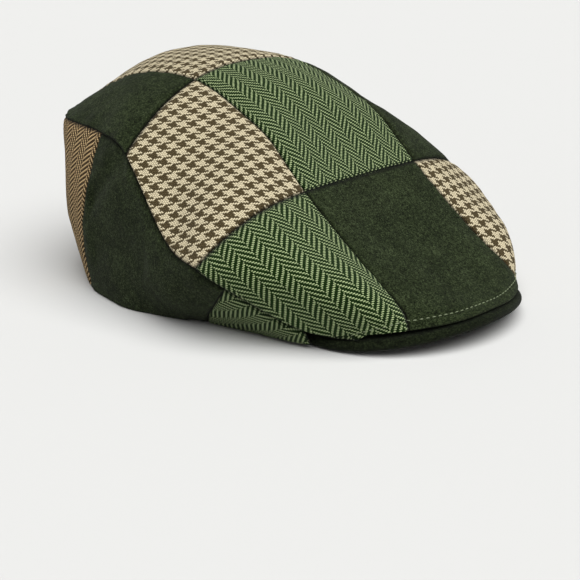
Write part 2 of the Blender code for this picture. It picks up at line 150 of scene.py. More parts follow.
# Relief of the sewn cloth. A seam's reach is how wide the cloth dips beside it, its welt how far
# the turned-in edge stands proud, and its shade how far beside it the colour is darkened as painted
# shade.
Seam = namedtuple("Seam", "reach welt shade")
LAPS_OVER = Seam(reach=0.50 * MM, welt=0.38 * MM, shade=1.1 * MM)
LIES_UNDER = Seam(reach=1.50 * MM, welt=0.0, shade=2.8 * MM)
FLAT_SEAM = Seam(reach=0.80 * MM, welt=0.12 * MM, shade=1.1 * MM)
SEAM_DIP = 1.0 * MM
VALLEY = 0.35 * MM
VALLEY_REACH = 4.0 * MM
WELT_FROM_SEAM = 1.8 * MM
WELT_REACH = 1.3 * MM
WELT_UNEVEN = 0.35
PUCKER = 0.22 * MM
PUCKER_SIZE = 9 * MM
PUCKER_REACH = 7 * MM
SOFT_WAVE = 0.75 * MM
SOFT_WAVE_SIZE = 48 * MM
SOFT_WAVE_REACH = 12 * MM
FINE_WAVE = 0.12 * MM
FINE_WAVE_SIZE = 14 * MM
WAVE_COUNT = 22  # sine waves in one sum
WAVE_RANGE = (0.6, 1.6)  # their lengths, in shares of the sum's size
WELT_SEED, PUCKER_SEED, SOFT_SEED, FINE_SEED = 3, 5, 8, 13
SEAM_TURN = 2 * CLOTH  # how far from the seam line the cloth's depth turns to the seam's own way
HEM_TURN = 4 * CLOTH  # how far up from the hem it turns from upright to its own slope
BLUNT = 0.02  # the least number whose root rounds an edge, so that none ends in a point

BIAS = -0.19  # how far the side columns' cloth is pulled askew
BAND_TURNS = (-33, 0, 0)  # degrees by which each band panel's cloth is turned, from the front

# Topstitching along the crown's front edge
STITCH_SETBACK = 5.0 * MM
STITCH_PITCH = 3.1 * MM
STITCH_LENGTH = 1.9 * MM
STITCH_RADIUS = 0.26 * MM
STITCH_SIDES = 6
STITCH_RINGS = 7
STITCH_DENT = 0.30 * MM
STITCH_DENT_REACH = 1.0 * MM
STITCH_LIFT = 0.9  # of its middle over the cloth, in radii
STITCH_SINK = 1.3  # of its ends below its middle, in radii

# The record's material slots, and the cloth of each panel
FELT = "dark_green_felt"
GREEN = "green_herringbone"
CHECK = "brown_houndstooth"
BROWN = "brown_herringbone"
CROWN_SLOTS = {
    "front": {"right": GREEN, "centre": FELT, "left": CHECK},
    "mid": {"right": CHECK, "centre": GREEN, "left": FELT},
    "back": {"right": FELT, "centre": CHECK, "left": GREEN},
}
BAND_SLOTS = {"front": GREEN, "mid": FELT, "back": BROWN}

# Cloth colours, and the width of a warp yarn and of a weft yarn in each tweed
Tweed = namedtuple("Tweed", "light dark warp weft")
GREEN_TWEED = Tweed((0.33, 0.41, 0.20), (0.005, 0.0185, 0.0008), 0.77 * MM, 0.83 * MM)
CHECK_TWEED = Tweed((0.62, 0.54, 0.36), (0.074, 0.054, 0.023), 0.78 * MM, 0.77 * MM)
BROWN_TWEED = Tweed((0.78, 0.56, 0.29), (0.042, 0.022, 0.005), 0.72 * MM, 0.70 * MM)
TWILL_YARNS = 4  # two over and two under
COLUMN_YARNS = 8  # between two turns of the herringbone
CHECK_YARNS = 8  # in one repeat of the houndstooth, half of them dark
FELT_DARK = (0.0017, 0.0030, 0.0007)
FELT_MIDDLE = (0.0105, 0.0156, 0.0052)
FELT_LIGHT = (0.0440, 0.0590, 0.0260)
FELT_HAIR = (0.110, 0.140, 0.072)
HAIR_SHOWS = 0.45
PAINTED_PEAK_SHADE = 0.42  # the felt's brightness on the peak: a darker copy of the felt, as painted shade
THREAD = (0.17, 0.20, 0.12)
# Painted shade: the colour the cloth is multiplied by right at a seam, fading to none at its shade
# reach
PAINTED_SEAM_SHADE = (0.18, 0.18, 0.18)
SHINE = 0.05
SHEEN_ROUGHNESS = 0.5

# Floor, light and camera
FLOOR_FLAT = 1.5  # metres from the cap to where the floor begins to rise
FLOOR_REACH = 9.0
FLOOR_RISE = 0.05
FLOOR_RINGS = 24
FLOOR_SPOKES = 96
FLOOR_COLOUR = (0.53, 0.53, 0.52)
ROOM_LIGHT = 0.08
SUN_LIGHT = 5.1
SUN_WIDTH = 70  # degrees
SUN_SIDE = (-0.15, -0.40, 1.0)  # where it shines from
CAMERA_AZIMUTH = -47.0  # degrees, like the next two
CAMERA_ELEVATION = 19.2
CAMERA_ROLL = -0.2
CAMERA_LENS = 81.0  # mm, like the sensor
CAMERA_SENSOR = 36.0
CAMERA_NEAR = 0.01
CAMERA_DISTANCE = 732 * MM
CAMERA_TARGET = (30 * MM, 28.5 * MM, -20 * MM)


# Curves and surfaces


def smooth(values, place, before=None, after=None):
    """A Catmull-Rom curve through values at places 0, 1, 2 and so on along their first axis."""
    values = np.asarray(values, float)
    first = 2 * values[0] - values[1] if before is None else before
    last = 2 * values[-1] - values[-2] if after is None else after
    ends = np.concatenate([[first], values, [last]])
    place = np.clip(np.asarray(place, float), 0, len(values) - 1)
    index = np.minimum(place.astype(int), len(values) - 2)
    part = (place - index).reshape(place.shape + (1,) * (values.ndim - 1))
    p0, p1, p2, p3 = (ends[index + step] for step in range(4))
    return p1 + 0.5 * part * (
        (p2 - p0) + part * ((2 * p0 - 5 * p1 + 4 * p2 - p3) + part * (3 * (p1 - p2) + p3 - p0))
    )


def column_of(table, name, scale):
    """One named column of a table, as lengths."""
    return np.array([getattr(row, name) for row in table]) * scale


def unit(vectors):
    return vectors / np.linalg.norm(vectors, axis=-1, keepdims=True)


def length_of(vectors):
    return np.linalg.norm(vectors, axis=-1)


def joined(*parts):
    """Coordinates as points, or corners as faces."""
    return np.stack(np.broadcast_arrays(*parts), axis=-1)


def peak_corner_y():
    return PEAK_REACH - CAP_LENGTH / 2


def peak_under(x):
    """Height of the peak's underside: its lift, and its arch times 1 - (x / half width) squared."""
    return PEAK_LIFT + PEAK_ARCH * np.clip(1 - (2 * x / PEAK_WIDTH) ** 2, 0, None)


def crown_seat(x):
    """Height of the crown's outer face where its front edge lies on the peak."""
    return peak_under(x) + PEAK_BOARD + PEAK_GAP + CLOTH


def band_point_x():
    return PEAK_WIDTH / 2 + PEAK_SIDE_GAP + CLOTH


def seam_points():
    """The seam line's points at t = 0 to 7. The first two follow the peak."""
    angle = np.radians(CROWN_CORNER_ANGLE)
    corner_x = PEAK_WIDTH / 2 * np.cos(angle) - PEAK_LIP / 2
    corner = [corner_x, peak_corner_y() - PEAK_REACH * np.sin(angle), crown_seat(corner_x)]
    point = [band_point_x() + BAND_POINT_FLARE, peak_corner_y(), BAND_POINT_HEIGHT]
    rest = joined(
        column_of(BAND[:-1], "out", CAP_WIDTH / 2),
        column_of(BAND[:-1], "along", CAP_LENGTH / 2),
        column_of(BAND[:-1], "up", CAP_HEIGHT),
    )
    return np.concatenate([[corner, point], rest])


def crown_middle():
    """Along and up of the crown's middle line at its seven sections."""
    along = [PEAK_LIP - CAP_LENGTH / 2, *(row.along * CAP_LENGTH / 2 for row in CROWN[1:])]
    up = [crown_seat(0.0), *(row.up * CAP_HEIGHT for row in CROWN[1:])]
    return np.array(along), np.array(up)


SEAM = seam_points()
MIDDLE_ALONG, MIDDLE_UP = crown_middle()
COLUMN = column_of(CROWN, "column", CAP_WIDTH / 2)
SWEEP = column_of(CROWN, "sweep", 1)
DROOP = column_of(CROWN, "droop", 1)
HEM_OUT = np.concatenate([[band_point_x()], column_of(BAND, "hem_out", OPENING_WIDTH / 2)])
HEM_ALONG = np.concatenate(
    [[peak_corner_y()], OPENING_BACKSET + column_of(BAND, "hem_along", OPENING_LENGTH / 2)]
)
BULGE = np.concatenate([[0], column_of(BAND, "bulge", CAP_WIDTH)])


def back_edge(share):
    """The crown's back edge, from the back's centre (0) to the seam line's last section (1)."""
    out, along, up = SEAM[-1]
    return joined(
        out * share,
        MIDDLE_ALONG[-1] + (along - MIDDLE_ALONG[-1]) * share ** SWEEP[-1],
        up + (MIDDLE_UP[-1] - up) * (1 - share ** DROOP[-1]),
    )


def side_seam(t):
    """The seam line along the side, t = 0 to 7."""
    return smooth(SEAM, t, after=back_edge(np.array(BACK_LEAD)))


def seam_line(t):
    """The seam line from the crown's front corner to the centre of the back."""
    last = len(SEAM) - 1
    side = side_seam(np.minimum(t, last))
    back = back_edge(np.clip(BAND_END - t, 0, 1))
    return np.where((t > last)[..., None], back, side)


def seam_place(v):
    """The t at which a line of constant v meets the seam line."""
    return np.interp(v, ROW_CUTS, ROW_CUT_PLACES)


def crown_frame(u, v):
    """Points of the crown before its panels swell.

    Across, a section runs from its middle point to its point on the seam line. With q its share of
    the way out, it moves along by q to the power of its sweep, and falls by q to the power of its
    droop.
    """
    u, v = np.broadcast_arrays(u, v)
    edge = side_seam(seam_place(v))
    section = v * (len(CROWN) - 1)
    along, up = smooth(MIDDLE_ALONG, section), smooth(MIDDLE_UP, section)
    column, sweep, droop = (smooth(values, section) for values in (COLUMN, SWEEP, DROOP))
    width = edge[..., 0]
    past = np.clip((abs(u) - COLUMN_CUT) / (1 - COLUMN_CUT), 0, 1)
    x = np.minimum(abs(u) / COLUMN_CUT, 1) * column + past * (width - column)
    q = np.clip(x / width, 0, 1)
    y = along + (edge[..., 1] - along) * q**sweep
    z = edge[..., 2] + (up - edge[..., 2]) * (1 - q**droop)
    on_peak = np.clip(1 - section / BOW_FADE, 0, 1) ** 2
    z = z + on_peak * (MIDDLE_UP[0] - SEAM[0, 2]) * (q**droop - q**2)
    return joined(np.sign(u) * x, y, z)


def surface_normal(surface, a, b, step_a, step_b, range_a, range_b):
    """Unit normals of a surface, from its differences, read a little inside its border."""
    a = np.clip(a, range_a[0] + step_a, range_a[1] - step_a)
    b = np.clip(b, range_b[0] + step_b, range_b[1] - step_b)
    across = surface(a + step_a, b) - surface(a - step_a, b)
    along = surface(a, b + step_b) - surface(a, b - step_b)
    return unit(np.cross(across, along))


CROWN_SPAN = dict(step_a=0.01, step_b=0.01, range_a=(-0.97, 0.97), range_b=(0, 0.98))
BAND_SPAN = dict(step_a=0.02, step_b=0.02, range_a=(1, BAND_END), range_b=(0, 1))


def crown(u, v):
    """Points of the crown's outer face.

    Each panel swells like a cushion, by a sine across times a sine along, so not at its seams.
    """
    u, v = np.broadcast_arrays(u, v)
    row = np.clip(np.searchsorted(ROW_CUTS, v, side="right") - 1, 0, len(SWELL) - 1)
    side = abs(u) > COLUMN_CUT
    heights = np.array([[panel.centre, panel.side] for panel in SWELL]) * CAP_WIDTH
    across = np.where(side, (abs(u) - COLUMN_CUT) / (1 - COLUMN_CUT), (u / COLUMN_CUT + 1) / 2)
    along = v * len(SWELL) - row
    swell = heights[row, side.astype(int)] * np.sin(np.pi * across) * np.sin(np.pi * along)
    return crown_frame(u, v) + surface_normal(crown_frame, u, v, **CROWN_SPAN) * swell[..., None]


def crown_normal(u, v):
    return surface_normal(crown, u, v, **CROWN_SPAN)


def crown_place(t):
    """The u and v at which the crown meets the seam line at t."""
    last = len(SEAM) - 1
    x = SEAM[-1, 0] * np.clip(BAND_END - t, 0, 1)
    column = COLUMN[-1]
    inside = x / column * COLUMN_CUT
    outside = COLUMN_CUT + (x - column) / (SEAM[-1, 0] - column) * (1 - COLUMN_CUT)
    u = np.where(t > last, np.where(x < column, inside, outside), 1.0)
    return u, np.where(t > last, 1.0, np.interp(t, ROW_CUT_PLACES, ROW_CUTS))


def hem(t):
    """The hem, t = 1 to 8. It is flat on the floor from t = 2."""
    return joined(
        smooth(HEM_OUT, t - 1, after=-HEM_OUT[-2]),
        smooth(HEM_ALONG, t - 1, after=HEM_ALONG[-2]),
        HEM_RISE * np.clip(2 - t, 0, 1) ** 2,
    )


def crease_depth(t, h):
    """How deep the creases are at (t, h): each is a bell-shaped groove along a straight line."""
    total = np.zeros(np.broadcast(t, h).shape)
    for crease in CREASES:
        run_t, run_h = crease.to_t - crease.from_t, crease.to_h - crease.from_h
        share = ((t - crease.from_t) * run_t + (h - crease.from_h) * run_h) / (run_t**2 + run_h**2)
        share = np.clip(share, 0, 1)
        away = np.hypot(t - crease.from_t - share * run_t, h - crease.from_h - share * run_h)
        total = total + crease.depth * CAP_WIDTH * bell(away, crease.reach)
    return total * np.sin(np.pi * np.clip(h, 0, 1)) ** 0.5


def band(t, h):
    """Points of the band's outer face: straight from hem to seam line, then bulged and creased."""
    t, h = np.broadcast_arrays(t, h)

    def ruled(t):
        return hem(t) * (1 - h[..., None]) + seam_line(t) * h[..., None]

    step = 0.02
    run = ruled(np.minimum(t + step, BAND_END)) - ruled(np.maximum(t - step, 1))
    outward = unit(joined(run[..., 1], -run[..., 0], 0))
    push = smooth(BULGE, t - 1) * np.sin(np.pi * h) - crease_depth(t, h)
    return ruled(t) + outward * push[..., None]


def band_normal(t, h):
    return surface_normal(band, t, h, **BAND_SPAN)


def seam_inward(t):
    """From the seam line to its inner edge, where the inner faces of crown and band meet.

    In front of the band this turns to straight down, as the crown's edge there lies on the peak.
    """
    u, v = crown_place(t)
    upper = crown_normal(u, v)
    bisector = unit(upper + band_normal(np.maximum(t, 1), np.ones_like(t)))
    half_angle_cosine = np.maximum((bisector * upper).sum(axis=-1, keepdims=True), SHARPEST_MITRE)
    mitre = -bisector * CLOTH / half_angle_cosine
    down = np.array([0, 0, -CLOTH])
    share = np.clip(t, 0, 1)[..., None]
    return down + (mitre - down) * share


# Cloth relief


def nearest(points, line, at_once=4000):
    """Each point's distance to the nearest point of a line, and that point's index."""
    flat = points.reshape(-1, 3).astype(np.float32)
    near = np.full(len(flat), np.inf, np.float32)
    which = np.zeros(len(flat), int)
    for start in range(0, len(flat), at_once):
        rows = slice(start, start + at_once)
        away = length_of(flat[rows, None] - line[None].astype(np.float32))
        which[rows] = away.argmin(axis=1)
        near[rows] = away.min(axis=1)
    return near.reshape(points.shape[:-1]).astype(float), which.reshape(points.shape[:-1])


def between(place, known, points):
    """Points at places along a line, straight between its known places."""
    return joined(*(np.interp(place, known, values) for values in points.T))


def dense(line, times=4):
    """A line of points with others between them."""
    place = np.linspace(0, len(line) - 1, (len(line) - 1) * times + 1)
    return between(place, np.arange(len(line)), line)


def waves(points, size, seed):
    """Smooth noise of about -1 to 1: a sum of sine waves of one size in fixed random directions."""
    draw = np.random.default_rng(seed)
    way = unit(draw.normal(size=(WAVE_COUNT, 3)))
    length = size * draw.uniform(*WAVE_RANGE, WAVE_COUNT)
    phase = draw.uniform(0, 2 * np.pi, WAVE_COUNT)
    flat = points.reshape(-1, 3)
    total = np.sin(flat @ (way * 2 * np.pi / length[:, None]).T + phase).sum(axis=-1)
    return (total / np.sqrt(WAVE_COUNT)).reshape(points.shape[:-1])


def bell(distance, reach):
    """From 1 at 0 down to nearly 0 past the reach: e to the power -(distance / reach) squared."""
    return np.exp(-((distance / reach) ** 2))


def seam_relief(points, seams):
    """Height of the cloth over its plain form, and its distance from a seam in shares of the reach
    of its painted shade.

    At a seam it dips, in a shallow valley. Beside it the turned-in edge makes a welt, further off
    it puckers, and away from the seams it waves softly. At the seam all but the dip and the valley
    are 0, so neighbours meet.
    """
    away = {name: nearest(points, dense(points[EDGES[name]]))[0] for name in seams}
    nearest_seam = np.minimum.reduce(list(away.values()))
    dip = np.maximum.reduce([bell(away[name], seam.reach) for name, seam in seams.items()])
    off = 1 - dip
    uneven = 1 + WELT_UNEVEN * waves(points, PUCKER_SIZE, WELT_SEED)
    height = -SEAM_DIP * dip - VALLEY * bell(nearest_seam, VALLEY_REACH)
    for name, seam in seams.items():
        height = height + seam.welt * uneven * off * bell(away[name] - WELT_FROM_SEAM, WELT_REACH)
    puckered = PUCKER * off * bell(nearest_seam, PUCKER_REACH)
    height = height + puckered * waves(points, PUCKER_SIZE, PUCKER_SEED)
    soft = 1 - bell(nearest_seam, SOFT_WAVE_REACH)
    height = height + SOFT_WAVE * soft * waves(points, SOFT_WAVE_SIZE, SOFT_SEED)
    height = height + FINE_WAVE * off * waves(points, FINE_WAVE_SIZE, FINE_SEED)
    return height, np.minimum.reduce([away[name] / seam.shade for name, seam in seams.items()])


# Panels


Panel = namedtuple("Panel", "outer inner from_seam flat")
EDGES = {"first_a": np.s_[0], "last_a": np.s_[-1], "first_b": np.s_[:, 0], "last_b": np.s_[:, -1]}
SEAM_SAMPLES = np.linspace(0, BAND_END, 1601)
SEAM_LINE = seam_line(SEAM_SAMPLES)
SEAM_INWARD = seam_inward(SEAM_SAMPLES)


def inward(points, normals):
    """From the outer face to the inner one: one cloth's thickness along the normal.

    Close to the seam line it turns to the seam line's own way in, so crown and band never cross.
    """
    away, which = nearest(points, SEAM_LINE)
    share = np.clip(away / SEAM_TURN, 0, 1)[..., None]
    at_seam = SEAM_INWARD[which]
    return at_seam + (-CLOTH * normals - at_seam) * share


def sewn_panel(points, normals, seams, free, dent=0):
    """Outer and inner points of a panel of cloth with its relief, and their distance from a seam.

    Its outer face gets the relief along its way out. Towards a free edge the outer and inner faces
    close on the cloth's middle like a half circle, so the edge is a round fold.
    """
    depth = inward(points, normals)
    relief, from_seam = seam_relief(points, seams)
    outer = points - unit(depth) * (relief - dent)[..., None]
    inner = points + depth
    if free:
        edge, _ = nearest(points, dense(points[EDGES[free]]))
        middle = (outer + inner) / 2
        closing = np.clip(edge / (CLOTH / 2), 0, 1)
        half = np.sqrt(np.clip(1 - (1 - closing) ** 2, BLUNT, 1))[..., None]
        outer = middle + (outer - middle) * half
        inner = middle + (inner - middle) * half
    return outer, inner, from_seam


def numbered(points):
    """The index of each point of a grid."""
    return np.arange(points[..., 0].size).reshape(points.shape[:-1])


def shell(outer, inner):
    """Vertices and faces of the closed shell between two grids of points."""
    index = numbered(outer)
    quads = joined(index[:-1, :-1], index[1:, :-1], index[1:, 1:], index[:-1, 1:])
    quads = quads.reshape(-1, 4)
    loop = np.concatenate([index[:-1, 0], index[-1, :-1], index[:0:-1, -1], index[0, :0:-1]])
    after = np.roll(loop, -1)
    below = index.size
    rim = joined(after, loop, loop + below, after + below)
    vertices = np.concatenate([outer.reshape(-1, 3), inner.reshape(-1, 3)])
    return vertices, np.concatenate([quads, quads[:, ::-1] + below, rim])


def edge_places(count, edge_share):
    """Shares from 0 to 1 with extra ones in the round fold at 0, which takes the edge share."""
    turn = np.linspace(0, np.pi / 2, FACES_ROUND_EDGE + 1)[:-1]
    fold = edge_share[..., None] * (1 - np.cos(turn))
    rest = edge_share[..., None] + (1 - edge_share[..., None]) * np.linspace(0, 1, count + 1)
    return np.concatenate([fold, rest], axis=-1)


def laid_flat(points, grain):
    """A panel's points laid flat with as little stretch as possible, in metres from its middle.

    On a coarse grid of lines the panel starts as its lengths along and across, and each round moves
    the points of every edge and diagonal towards its true length. The result is turned so that the
    line that the cloth's grain follows, given as a share of the panel's width, runs along the
    second coordinate, and is carried over to the fine grid.
    """
    rows, columns = points.shape[:2]
    picked_rows = np.round(np.linspace(0, rows - 1, FLAT_LINES)).astype(int)
    picked_columns = np.round(np.linspace(0, columns - 1, FLAT_LINES)).astype(int)
    coarse = points[np.ix_(picked_rows, picked_columns)]
    middle = FLAT_LINES // 2
    across = length_of(np.diff(coarse, axis=0)).cumsum(axis=0)
    across = np.concatenate([np.zeros((1, FLAT_LINES)), across])
    across = across - across[middle]
    along = length_of(np.diff(coarse, axis=1)).cumsum(axis=1)
    along = np.concatenate([np.zeros((FLAT_LINES, 1)), along], axis=1)
    along = along - along[:, middle : middle + 1]
    flat = joined(across, along)
    ties = []
    for first, second in (
        (np.s_[:-1, :], np.s_[1:, :]),
        (np.s_[:, :-1], np.s_[:, 1:]),
        (np.s_[:-1, :-1], np.s_[1:, 1:]),
        (np.s_[1:, :-1], np.s_[:-1, 1:]),
    ):
        ties.append((first, second, length_of(coarse[second] - coarse[first])))
    for _ in range(FLAT_ROUNDS):
        shift = np.zeros_like(flat)
        for first, second, length in ties:
            run = flat[second] - flat[first]
            now = np.maximum(length_of(run), SHORTEST)
            pull = run * (FLAT_PULL * (now - length) / now)[..., None]
            shift[first] += pull
            shift[second] -= pull
        flat = flat + shift
    flat = flat - flat[middle, middle]
    line = round(grain * (FLAT_LINES - 1))
    ahead = flat[line, -1] - flat[line, 0]
    ahead = ahead / np.hypot(*ahead)
    flat = joined(flat @ [ahead[1], -ahead[0]], flat @ ahead)
    row_place = np.interp(np.arange(rows), picked_rows, np.arange(FLAT_LINES))
    column_place = np.interp(np.arange(columns), picked_columns, np.arange(FLAT_LINES))
    fine = smooth(flat, row_place)
    return smooth(np.swapaxes(fine, 0, 1), column_place).swapaxes(0, 1)


def turned(flat, degrees):
    """Flat places turned by an angle."""
    cosine, sine = np.cos(np.radians(degrees)), np.sin(np.radians(degrees))
    return flat @ np.array([[cosine, sine], [-sine, cosine]])


def front_stitch_dent(points, row):
    """The dent of the topstitching, a groove at one distance from the crown's front edge."""
    if row > 0:
        return 0
    edge, _ = nearest(points, dense(points[:, 0]))
    return STITCH_DENT * bell(edge - STITCH_SETBACK, STITCH_DENT_REACH)


def crown_grid(column, row):
    """The u and v of a crown panel's fine grid."""
    if column == "centre":
        across = np.linspace(-COLUMN_CUT, COLUMN_CUT, FACES_PER_CENTRE + 1)
    else:
        across = np.linspace(COLUMN_CUT, 1, FACES_PER_SIDE + 1)
    first, last = ROW_CUT_PLACES[row], ROW_CUT_PLACES[row + 1]
    places = np.linspace(first, last, (last - first) * FACES_PER_SECTION + 1)
    v = np.interp(places, ROW_CUT_PLACES, ROW_CUTS)
    if row > 0:
        return np.meshgrid(across, v, indexing="ij")
    step = 0.02
    run = length_of(crown(across, step) - crown(across, 0.0)) / step
    fold = np.clip(CLOTH / 2 / run, 0, v[1])
    turn = np.linspace(0, np.pi / 2, FACES_ROUND_EDGE + 1)[:-1]
    near = fold[:, None] * (1 - np.cos(turn))
    v = np.broadcast_to(v[1:], (len(across), len(v) - 1))
    v = np.concatenate([near, fold[:, None], v], axis=1)
    return np.broadcast_to(across[:, None], v.shape), v


def crown_panel(column, row):
    """A panel of the crown: its piece of the surface with its relief, laid flat for its weave."""
    u, v = crown_grid(column, row)
    points = crown(u, v)
    normals = crown_normal(u, v)
    seams = {"first_a": FLAT_SEAM, "last_a": FLAT_SEAM if column == "centre" else LAPS_OVER}
    seams["last_b"] = LIES_UNDER if row < len(SWELL) - 1 else LAPS_OVER
    if row:
        seams["first_b"] = LAPS_OVER
    free = None if row else "first_b"
    dent = front_stitch_dent(points, row)
    outer, inner, from_seam = sewn_panel(points, normals, seams, free, dent)
    flat = laid_flat(points, grain=0.5 if column == "centre" else 0.0)
    if column == "side":
        flat[..., 0] += BIAS * flat[..., 1]
    return Panel(outer, inner, from_seam, flat)


def band_panel(part):
    """A panel of the band. It stands upright at its hem, which never goes below the floor."""
    start, end = BAND_CUTS[part], BAND_CUTS[part + 1]
    last = len(SEAM) - 1
    side = np.linspace(start, min(end, last), (min(end, last) - start) * FACES_PER_SECTION + 1)
    if end > last:
        centre = np.linspace(0, COLUMN_CUT, FACES_PER_CENTRE // 2 + 1)
        outside = np.linspace(COLUMN_CUT, 1, FACES_PER_SIDE + 1)[1:]
        across = crown(np.concatenate([centre, outside]), 1.0)[..., 0]
        back = BAND_END - across[::-1] / SEAM[-1, 0]
        side = np.concatenate([side, back[1:]])
    height = length_of(seam_line(side) - hem(side))
    h = edge_places(FACES_UP_BAND, CLOTH / 2 / height)
    t = np.broadcast_to(side[:, None], h.shape)
    points = band(t, h)
    normals = band_normal(t, h)
    flat_out = unit(normals * [1, 1, 0])
    above_hem = np.clip(h * height[:, None] / HEM_TURN, 0, 1)
    normals = unit(flat_out + (normals - flat_out) * above_hem[..., None])
    seams = {"first_a": FLAT_SEAM, "last_a": FLAT_SEAM, "last_b": LIES_UNDER}
    outer, inner, from_seam = sewn_panel(points, normals, seams, "first_b")
    for face in (outer, inner):
        face[..., 2] = np.maximum(face[..., 2], hem(side)[:, 2][:, None])
        if end == BAND_END:
            face[-1, :, 0] = 0
    flat = turned(laid_flat(points, grain=0.5), BAND_TURNS[part])
    return Panel(outer, inner, from_seam, flat)


def peak_points():
    """The peak's skin as a grid: round its outline, and from under its rear edge over its lip.

    Its front is half an ellipse in front of its corners, its rear edge follows the opening, and its
    ends taper back inside the band. Its lip is a half circle as thick as the board.
    """
    turn = np.linspace(-1, 1, PEAK_FACES + 1)
    round_share = 1 - PEAK_TAIL_SHARE
    round_part = np.clip(turn / round_share, -1, 1) * np.pi / 2
    tail = np.clip((abs(turn) - round_share) / PEAK_TAIL_SHARE, 0, 1) * PEAK_TAIL
    front_y = peak_corner_y() - PEAK_REACH * np.cos(round_part) + tail
    front = joined(PEAK_WIDTH / 2 * np.sin(round_part), front_y)
    rear_end = np.arcsin((PEAK_WIDTH / 2 - PEAK_BOARD) / (OPENING_WIDTH / 2))
    rear_y = OPENING_BACKSET - OPENING_LENGTH / 2 * np.cos(turn * rear_end)
    rear = joined(OPENING_WIDTH / 2 * np.sin(turn * rear_end), rear_y)
    half = PEAK_BOARD / 2
    lip = np.linspace(-np.pi / 2, np.pi / 2, PEAK_LIP_FACES + 1)
    inset = half * (1 - np.cos(lip))
    across = unit(rear - front)
    reach = length_of(rear - front) - half
    deep = half + np.linspace(0, 1, PEAK_FACES_DEEP + 1)[1:, None] * reach
    below = [(distance, -half) for distance in deep[::-1]]
    lip_points = [(np.full(len(turn), d), half * np.sin(a)) for d, a in zip(inset, lip)]
    above = [(distance, half) for distance in deep]
    loop = []
    for distance, height in below + lip_points + above:
        place = front + across * distance[:, None]
        z = peak_under(place[:, 0]) + half + height
        loop.append(joined(*place.T, z))
    return np.stack(loop, axis=1)


# Meshes


def add_object(name, data):
    """Adds an object to the scene."""
    made = bpy.data.objects.new(name, data)
    bpy.context.scene.collection.objects.link(made)
    return made


def add_piece(name, vertices, faces, material, replaced, flat=None, from_seam=None):
    """Adds one piece to the scene and ties it to the frame."""
    mesh = bpy.data.meshes.new(name)
    mesh.from_pydata(vertices.tolist(), [], [list(face) for face in faces])
    if flat is not None:
        layer = mesh.uv_layers.new(name="cloth")
        corner = np.zeros(len(mesh.loops), int)
        mesh.loops.foreach_get("vertex_index", corner)
        layer.data.foreach_set("uv", flat[corner].astype(np.float32).ravel())
    # Pieces without seams get no painted seam shade
    if from_seam is None:
        from_seam = np.ones(len(vertices))
    shade = mesh.attributes.new("from_seam", "FLOAT", "POINT")
    shade.data.foreach_set("value", from_seam.astype(np.float32).ravel())
    mesh.materials.append(material)
    mesh.shade_smooth()
    piece = add_object(name, mesh)
    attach(piece, "root")
    if replaced:
        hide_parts(replaced)


def add_panel(node, panel, slot, cloths, mirrored):
    """Adds a cloth panel, as it is or mirrored to the cap's right."""
    vertices, faces = shell(panel.outer, panel.inner)
    flat = np.concatenate([panel.flat.reshape(-1, 2)] * 2)
    from_seam = np.concatenate([panel.from_seam.ravel()] * 2)
    if mirrored:
        vertices = vertices * [-1, 1, 1]
        flat = flat * [-1, 1]
        faces = faces[:, ::-1]
    add_piece(f"{node}_cloth", vertices, faces, cloths[slot], node, flat, from_seam)


def faces_between(rings):
    """Quads between neighbouring rings, from their vertices' indices."""
    beside = np.roll(rings, -1, axis=1)
    return joined(rings[:-1], rings[1:], beside[1:], beside[:-1]).reshape(-1, 4)


def add_peak(material):
    """Adds the peak, closed at its two ends."""
    grid = peak_points()
    index = numbered(grid)
    half = index.shape[1] // 2
    caps = []
    for ring, flipped in ((index[0], False), (index[-1], True)):
        left, right = ring[:half], ring[::-1][:half]
        quads = joined(left[:-1], left[1:], right[1:], right[:-1])
        caps.append(quads[:, ::-1] if flipped else quads)
    faces = np.concatenate([faces_between(index), *caps])
    add_piece("peak_cover", grid.reshape(-1, 3), faces, material, "peak")


def stitch_line(panel):
    """Points and outward directions along a front panel, one setback behind its front edge."""
    outer, inner = panel.outer, panel.inner
    run = length_of(np.diff(outer, axis=1)).cumsum(axis=1)
    after = (run < STITCH_SETBACK).sum(axis=1) + 1
    rows = np.arange(len(outer))
    before = np.where(after > 1, run[rows, after - 2], 0)
    share = ((STITCH_SETBACK - before) / (run[rows, after - 1] - before))[:, None]
    points = outer[rows, after - 1] * (1 - share) + outer[rows, after] * share
    return points, unit(outer[rows, after] - inner[rows, after])


